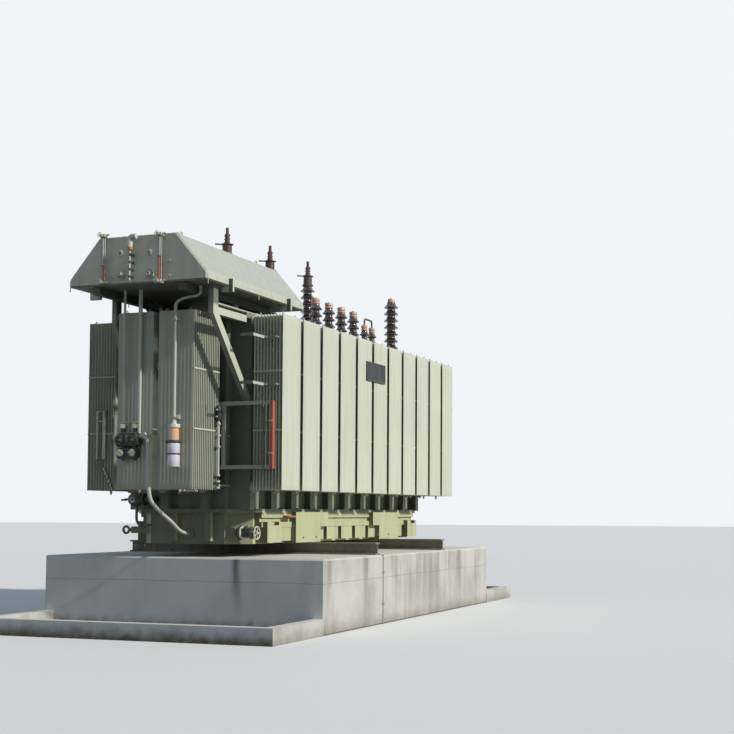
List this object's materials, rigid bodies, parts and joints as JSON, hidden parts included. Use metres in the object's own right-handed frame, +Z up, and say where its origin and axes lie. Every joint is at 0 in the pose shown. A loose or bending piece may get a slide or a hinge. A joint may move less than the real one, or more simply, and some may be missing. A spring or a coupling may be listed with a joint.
{
  "type": "power transformer on a plinth",
  "caption": "Oil-filled power transformer with panel radiators round its tank, a wedge-shaped conservator, porcelain bushings and a concrete plinth.",
  "frame": {"origin": "middle of the plinth's underside, on the ground", "axes": "+Z up, +X along the tank away from the conservator, +Y towards the side with the high-voltage bushings"},
  "size_m": [9.46, 4.2, 5.7915],
  "materials": {
    "concrete": "cast, stained",
    "steel": "weathered paint",
    "trough_paint": "olive green paint",
    "tank_paint": "olive green paint",
    "radiator_paint": "pale grey-green paint",
    "conservator_paint": "pale grey-green paint",
    "porcelain": "dark brown glaze",
    "fitting_paint": "pale grey paint",
    "dark_paint": "dark grey paint"
  },
  "bodies": {
    "root": {"breather": "fitting_paint", "conduit_frame": "steel", "conservator": "conservator_paint", "cradle_beam_left": "steel", "cradle_beam_right": "steel", "cross_beam_far": "steel", "cross_beam_near": "steel", "drain_valve": "dark_paint", "far_radiator_1": "radiator_paint", "far_radiator_2": "radiator_paint", "gas_relay": "dark_paint", "hv_bushing_1": "porcelain", "hv_bushing_2": "porcelain", "hv_bushing_3": "porcelain", "kerb_far_end": "concrete", "kerb_far_left": "concrete", "kerb_far_right": "concrete", "kerb_near_end": "concrete", "kerb_near_left": "concrete", "kerb_near_right": "concrete", "left_radiator_01": "radiator_paint", "left_radiator_02": "radiator_paint", "left_radiator_03": "radiator_paint", "left_radiator_04": "radiator_paint", "left_radiator_05": "radiator_paint", "left_radiator_06": "radiator_paint", "left_radiator_07": "radiator_paint", "left_radiator_08": "radiator_paint", "left_radiator_09": "radiator_paint", "left_radiator_10": "radiator_paint", "left_radiator_11": "radiator_paint", "mv_bushing_1": "porcelain", "mv_bushing_2": "porcelain", "mv_bushing_3": "porcelain", "mv_bushing_4": "porcelain", "near_radiator_1": "radiator_paint", "near_radiator_2": "radiator_paint", "neutral_bushing": "porcelain", "oil_manifold": "fitting_paint", "plinth": "concrete", "right_radiator_01": "radiator_paint", "right_radiator_02": "radiator_paint", "right_radiator_03": "radiator_paint", "right_radiator_04": "radiator_paint", "right_radiator_05": "radiator_paint", "right_radiator_06": "radiator_paint", "right_radiator_07": "radiator_paint", "right_radiator_08": "radiator_paint", "right_radiator_09": "radiator_paint", "right_radiator_10": "radiator_paint", "right_radiator_11": "radiator_paint", "strut_left": "steel", "strut_right": "steel", "tank_bell": "tank_paint", "tank_cover": "tank_paint", "tank_trough": "trough_paint", "tertiary_bushings": "porcelain"}
  },
  "joints": []
}
